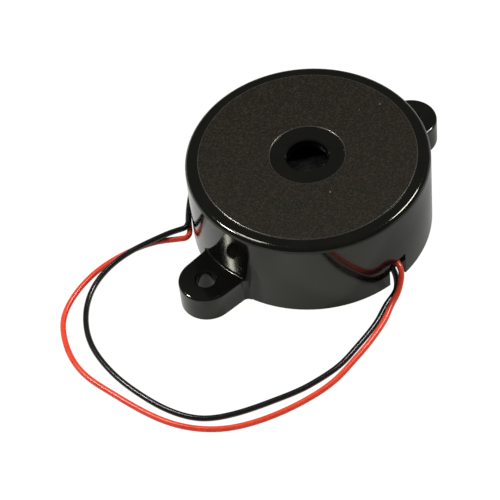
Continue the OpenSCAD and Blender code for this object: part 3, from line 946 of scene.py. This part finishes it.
RED_ROUTE_MM = [
    (1, -15, 4.6), (1, -17, 4.6), (0.6, -19.1, 4.6), (0, -20.9, 4.5), (-0.7, -22.4, 4),
    (-1.8, -23.3, 3), (-3.2, -23.9, 1.8), (-5.2, -24.5, 1.2), (-7.7, -25.6, 1), (-11.1, -26.7, 1),
    (-14.6, -27.5, 1), (-18.1, -28, 0.9), (-22, -28.4, 0.7), (-26.2, -28.1, 0.5),
    (-30.7, -27.2, 0.5), (-38, -24.5, 0.5), (-41.9, -22, 0.5), (-44.9, -18.8, 0.5),
    (-47, -15.2, 0.5), (-48.5, -10.7, 0.5), (-50, -2.4, 0.5), (-50.5, 2.3, 0.5), (-49.9, 6.7, 0.5),
    (-48.1, 10.9, 0.5), (-45.4, 14.4, 0.5), (-41.8, 16.6, 0.5), (-37.8, 17.8, 0.5),
    (-33.8, 18.2, 0.5), (-29.8, 17.8, 0.5), (-26.5, 17, 0.5), (-24, 16, 0.5), (-22, 14.8, 0.5),
    (-20.5, 13.6, 0.5), (-19.5, 12.8, 0.5), (-18.9, 12.4, 0.5), (-18.3, 12.4, 0.5),
    (-17.7, 12.7, 0.5), (-17.2, 13.2, 0.5), (-16.5, 14.1, 0.5), (-13.3, 17.3, 0.5), (-9.1, 20, 0.5),
    (-4.2, 21.5, 0.5), (0.8, 22, 0.5), (7.5, 20.8, 0.5),
]
BLACK_ROUTE_MM = [
    (-1, -15, 4.6), (-1, -17.2, 4.6), (-1, -19.2, 4.4), (-1.1, -20.8, 3.8), (-1.5, -22, 2.4),
    (-2.5, -22.8, 1), (-4.3, -23.2, 0.5), (-6.1, -23.7, 0.5), (-8.4, -24.6, 0.5),
    (-11.7, -25.5, 0.5), (-15.7, -26.2, 0.5), (-19.7, -26.7, 0.5), (-23.7, -26.4, 0.5),
    (-27.7, -25.6, 0.5), (-31.7, -24.2, 0.5), (-39.6, -20.6, 0.5), (-42.9, -18, 0.5),
    (-45.1, -14.3, 0.5), (-46.8, -6.8, 0.5), (-47.1, -1.7, 0.5), (-46.7, 2.7, 0.5),
    (-45.6, 6.9, 0.5), (-43.5, 10.7, 0.5), (-40.7, 13.7, 0.5), (-37.4, 15.8, 0.6), (-34, 16.7, 1),
    (-30.6, 16.7, 1.5), (-27.2, 16.3, 1.6), (-24.2, 15.6, 1.6), (-22.4, 15.1, 1.6),
    (-20.5, 14.5, 1.6), (-19.3, 14, 1.6), (-18.4, 13.6, 1.6), (-17.8, 13.45, 1.6),
    (-17.3, 13.6, 1.6), (-16.8, 13.9, 1.6), (-16.3, 14.4, 1.6), (-12.6, 17.9, 1.6), (-8.4, 21, 1.5),
    (-3.5, 23, 0.8), (1.5, 23.6, 0.5), (6.6, 23.4, 0.5), (11.8, 21.8, 0.5), (16.8, 18.4, 0.5),
]


@dataclass
class Leads:
    """Both leads. Each leaves the case at its exit, in the notch."""

    red: Lead = field(default_factory=lambda: Lead(
        "red_lead", RED_ROUTE_MM, exit=(0.0, -0.0209, 0.0045), finish=RED_PVC))
    black: Lead = field(default_factory=lambda: Lead(
        "black_lead", BLACK_ROUTE_MM, exit=(-0.0011, -0.0208, 0.0038), finish=BLACK_PVC))

    def build(self) -> None:
        """Make both leads."""
        self.red.build()
        self.black.build()


# Case and what it holds

@dataclass
class Case:
    """The housing and its back cover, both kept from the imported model."""

    housing: Finish = CASE_BLACK
    cover: Finish = COVER_BLACK

    def build(self) -> None:
        """Dress both mouldings."""
        dress("housing", self.housing)
        dress("back_cover", self.cover)


@dataclass
class PiezoElement:
    """The brass plate with its ceramic, silver prints, solder and sealant."""

    finishes: dict[str, Finish] = field(default_factory=lambda: {
        "diaphragm_plate": BRASS,
        "ceramic_disc": CERAMIC,
        "main_electrode": SILVER,
        "feedback_electrode": SILVER,
        "seal_bead": SEALANT,
        "piezo_solder": SOLDER,
    })

    def build(self) -> None:
        """Dress each piece of the element."""
        for node, finish in self.finishes.items():
            dress(node, finish)


@dataclass
class DriveBoard:
    """The round board with the parts of the drive circuit."""

    outer_tone: tuple[Colour, Colour] = ((0.60, 0.42, 0.22), (0.66, 0.47, 0.26))
    lacquer_roughness: float = 0.35
    bias_bands: tuple[Colour, ...] = ((0.20, 0.08, 0.03), (0.01, 0.01, 0.01), (0.75, 0.12, 0.02))
    feedback_bands: tuple[Colour, ...] = ((0.75, 0.60, 0.05), (0.22, 0.05, 0.35), (0.20, 0.08, 0.03))

    def resistor(self, node: str, bands: tuple[Colour, ...]) -> Finish:
        """Return a resistor's finish, with its rings centred on its body.

        Args:
            node: The resistor's node.
            bands: Its rings' colours.

        Returns:
            The finish.
        """
        low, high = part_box(node)
        return Banded(node + "_lacquer", *self.outer_tone, roughness=self.lacquer_roughness,
                      centre_x=(low.x + high.x) / 2, bands=bands)

    def build(self) -> None:
        """Dress the board and its parts."""
        finishes = {
            "circuit_board": LAMINATE,
            "choke_core": FERRITE,
            "choke_winding": COPPER,
            "choke_pins": TINNED,
            "transistor_body": EPOXY,
            "transistor_legs": TINNED,
            "bias_resistor": self.resistor("bias_resistor", self.bias_bands),
            "feedback_resistor": self.resistor("feedback_resistor", self.feedback_bands),
            "supply_diode": EPOXY,
            "plate_jumper": TINNED,
            "main_jumper": TINNED,
            "feedback_jumper": TINNED,
            "board_solder": SOLDER,
            "lead_solder": SOLDER,
        }
        for node, finish in finishes.items():
            dress(node, finish)


# Studio

@dataclass(frozen=True)
class Lamp:
    """A soft box that looks at the object. Angles are in degrees."""

    name: str
    azimuth: float
    elevation: float
    distance: float
    width: float
    height: float
    power: float
    colour: Colour = (1.0, 1.0, 1.0)

    def build(self, target: Vector) -> None:
        """Make the lamp.

        Args:
            target: The point that it looks at.
        """
        away = direction(self.azimuth, self.elevation)
        data = bpy.data.lights.new(self.name, "AREA")
        data.shape = "RECTANGLE"
        data.size = self.width
        data.size_y = self.height
        data.energy = self.power
        data.color = self.colour
        lamp = show(self.name, data)
        lamp.location = target + away * self.distance
        lamp.rotation_mode = "QUATERNION"
        lamp.rotation_quaternion = (-away).to_track_quat("-Z", "Y")


@dataclass
class Studio:
    """White floor, a pale band round the horizon, a dark room above and three lamps.

    The floor's own light and its lit white are mixed by glow where the floor is seen, and by
    mirrored_glow where it is mirrored. Where it is mirrored, its own light carries a painted shade: it
    fades towards +X and -Y, and beside the near ear it is darker still: fully below shade_x, and from
    shade_y_front to shade_y_back.
    """

    half_width: float = 3.0
    drop: float = 0.01 * MM
    white: Colour = (0.82, 0.82, 0.82)
    own_colour: Colour = (1.0, 1.0, 0.97)
    glow: float = 0.93
    seen_level: float = 1.08
    mirrored_glow: float = 0.55
    # Painted shade in the mirrored floor: its glow falls to mirrored_low towards +X and -Y, and ear_shade
    # dims it beside the near ear.
    mirrored_low: float = 0.35
    mirrored_high: float = 1.0
    fall_from: float = -35.0 * MM
    fall_to: float = 30.0 * MM
    ear_shade: float = 0.5
    shade_x: tuple[float, float] = (-0.031, -0.025)
    shade_y_front: tuple[float, float] = (-0.017, -0.012)
    shade_y_back: tuple[float, float] = (-0.006, 0.002)
    room: float = 0.105
    band_top: float = 0.0
    band_fade: float = 6.0
    lamps: tuple[Lamp, ...] = (
        Lamp("left_strip", azimuth=131.0, elevation=54.0, distance=0.60, width=0.044, height=0.085,
             power=1.7),
        Lamp("left_upper", azimuth=108.0, elevation=69.0, distance=0.60, width=0.130, height=0.090,
             power=0.85),
        Lamp("right_panel", azimuth=348.0, elevation=56.0, distance=0.60, width=0.085, height=0.150,
             power=2.0),
    )

    def floor(self) -> None:
        """Make the floor: it shows as white, and keeps a faint shadow."""
        half = self.half_width
        corners = [(-half, -half), (half, -half), (half, half), (-half, half)]
        mesh = bpy.data.meshes.new("floor")
        mesh.from_pydata([(x, y, -self.drop) for x, y in corners], [], [(0, 1, 2, 3)])
        mesh.materials.append(self.floor_finish())
        floor = show("floor", mesh)

    def floor_finish(self) -> bpy.types.Material:
        """Make the floor's material.

        Returns:
            The material.
        """
        material = bpy.data.materials.new("floor_white")
        material.use_nodes = True
        tree = Tree(material.node_tree)
        tree.tree.nodes.clear()
        ray = tree.add("LightPath").outputs
        mirror = tree.math("MULTIPLY", ray["Is Glossy Ray"], self.mirrored_glow)
        seen = tree.math("MAXIMUM", ray["Is Camera Ray"], ray["Is Transmission Ray"])
        share = tree.math("MAXIMUM", tree.math("MULTIPLY", seen, self.glow), mirror)
        strength = tree.blend(ray["Is Camera Ray"], self.mirrored(tree), self.seen_level)
        lit = tree.add("BsdfDiffuse", {"Color": rgba(self.white)}).outputs[0]
        own = tree.add("Emission", {"Color": rgba(self.own_colour), "Strength": strength}).outputs[0]
        mixed = tree.add("MixShader", {0: share, 1: lit, 2: own})
        tree.add("OutputMaterial", {"Surface": mixed.outputs[0]})
        return material

    def mirrored(self, tree: Tree) -> bpy.types.NodeSocket:
        """Work out how strong the floor's own light is in the glossy walls, with its painted shade.

        Args:
            tree: The floor material's tree.

        Returns:
            The strength's socket.
        """
        place = tree.axes(tree.place())
        side = tree.math("SUBTRACT", place["Y"], place["X"])
        # Painted shade: the floor's glow in the glossy walls dims towards +X and -Y, and beside the near
        # ear.
        level = tree.span(side, self.fall_from, self.fall_to, self.mirrored_low, self.mirrored_high)
        outer = tree.span(place["X"], *self.shade_x, 1, 0)
        back = tree.span(place["Y"], *self.shade_y_back, 1, 0)
        front = tree.span(place["Y"], *self.shade_y_front, 0, 1)
        patch = tree.math("MULTIPLY", outer, tree.math("MULTIPLY", back, front))
        painted_ear_shade = tree.math("MULTIPLY", patch, self.ear_shade)
        return tree.math("MULTIPLY", level, tree.math("SUBTRACT", 1.0, painted_ear_shade))

    def world(self) -> None:
        """Make the world: white up to a little above the horizon, dark above."""
        world = bpy.data.worlds.new("studio")
        bpy.context.scene.world = world
        world.use_nodes = True
        tree = Tree(world.node_tree)
        tree.tree.nodes.clear()
        height = tree.axes(tree.add("TexCoord").outputs["Generated"])["Z"]
        low, high = (math.sin(math.radians(angle)) for angle in (self.band_top, self.band_fade))
        strength = tree.span(height, low, high, 1.0, self.room, smooth=True)
        back = tree.add("Background", {"Color": rgba((1.0, 1.0, 1.0)), "Strength": strength})
        tree.add("OutputWorld", {"Surface": back.outputs[0]})

    def build(self) -> None:
        """Make the floor, the world and the lamps."""
        self.floor()
        self.world()
        middle = (CASE_BOX[0] + CASE_BOX[1]) / 2
        target = Vector((0.0, 0.0, middle.z))
        for lamp in self.lamps:
            lamp.build(target)
        bpy.context.scene.view_settings.view_transform = "Standard"


def main() -> None:
    """Build the scene in order."""
    logging.basicConfig(level=logging.INFO, format="%(name)s: %(message)s")
    Viewpoint().build()
    for part in (Leads(), Case(), PiezoElement(), DriveBoard(), Studio()):
        part.build()
        log.info("%s built", type(part).__name__)


if __name__ == "__main__":
    main()
